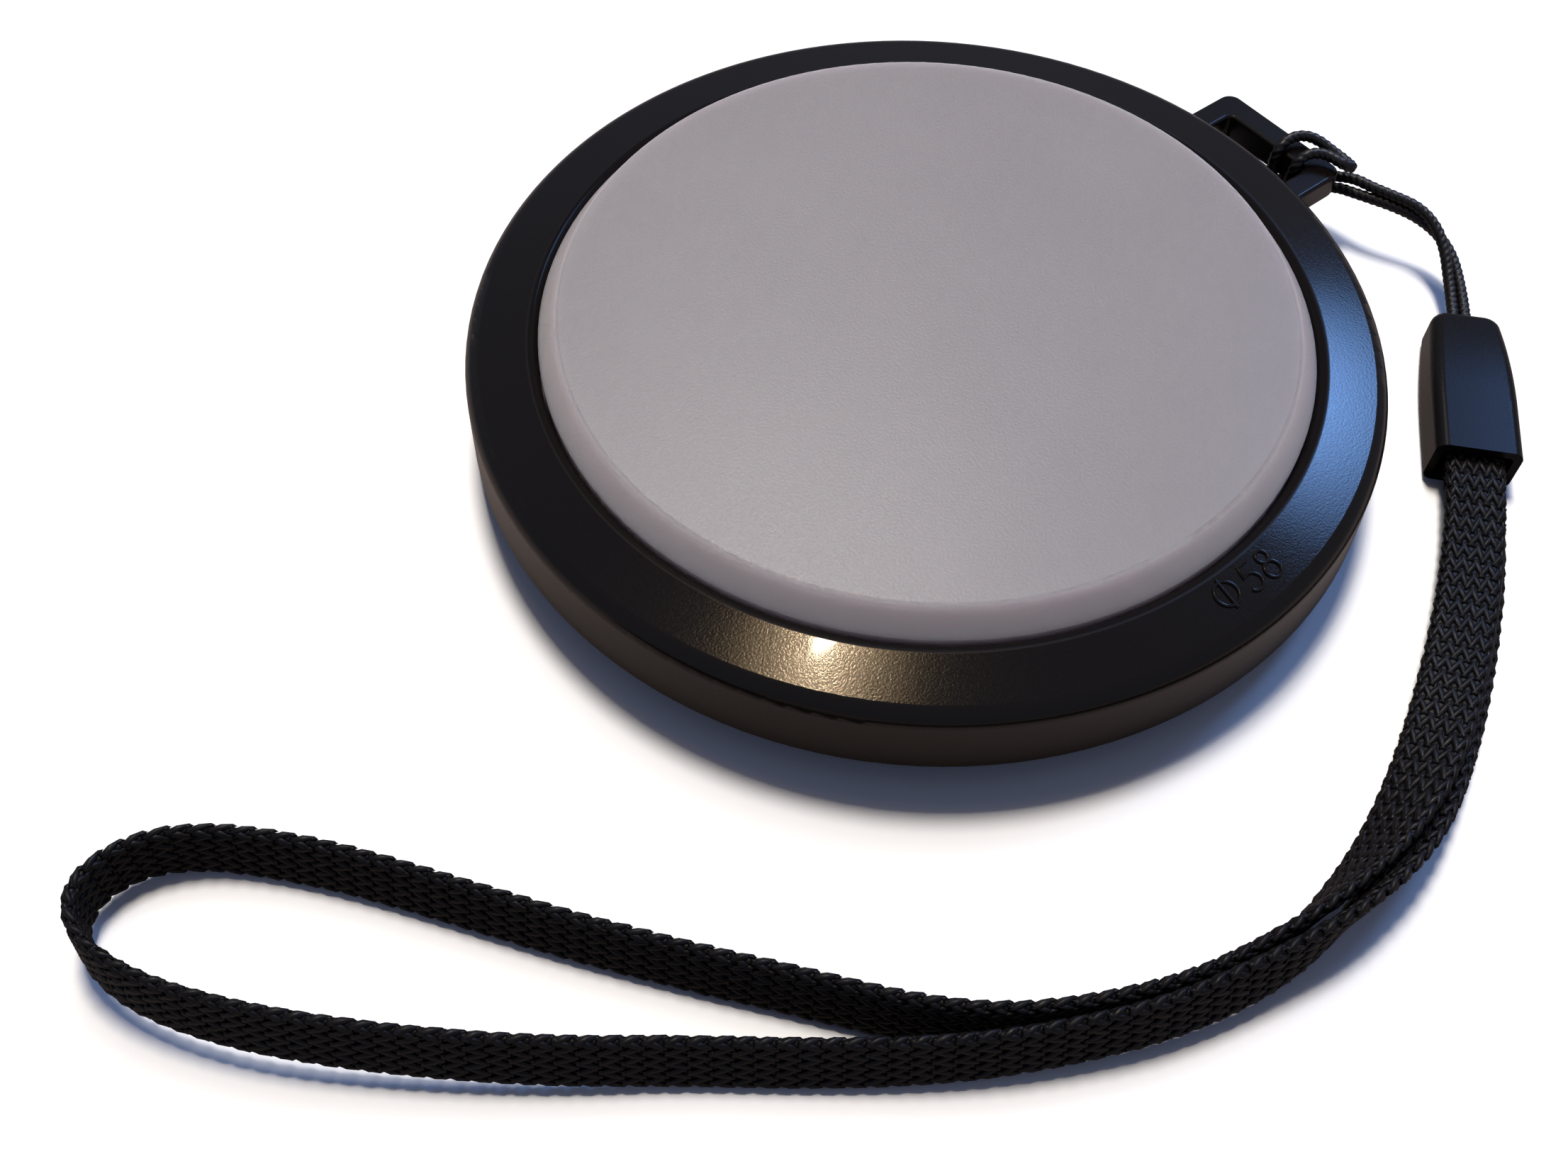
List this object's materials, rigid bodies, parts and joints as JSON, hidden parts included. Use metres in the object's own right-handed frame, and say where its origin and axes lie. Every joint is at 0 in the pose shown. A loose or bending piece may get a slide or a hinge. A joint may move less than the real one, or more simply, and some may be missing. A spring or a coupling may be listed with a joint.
{
  "type": "camera lens cap",
  "caption": "Round snap-in lens cap with a raised milky diffuser disc in a black bezel, spring fingers for a filter thread, and a knitted wrist strap hitched to a side lug.",
  "frame": {"origin": "on the cap's axis, in the plane of the bezel's rear face, which seats on the lens rim", "axes": "+Z along the cap's axis towards the diffuser's face, +X towards the strap lug"},
  "size_m": [0.111, 0.0823, 0.0108],
  "materials": {
    "bezel_plastic": "satin, finely grained",
    "diffuser_plastic": "milky, finely frosted",
    "clip_plastic": "satin",
    "connector_plastic": "satin",
    "cord_fibre": "glossy twisted fibre",
    "strap_knit": "knitted"
  },
  "bodies": {
    "root": {"bezel": "bezel_plastic", "diffuser": "diffuser_plastic", "clip_ring": "clip_plastic", "strap_connector": "connector_plastic", "lug_cord": "cord_fibre", "wrist_strap": "strap_knit"}
  },
  "joints": []
}
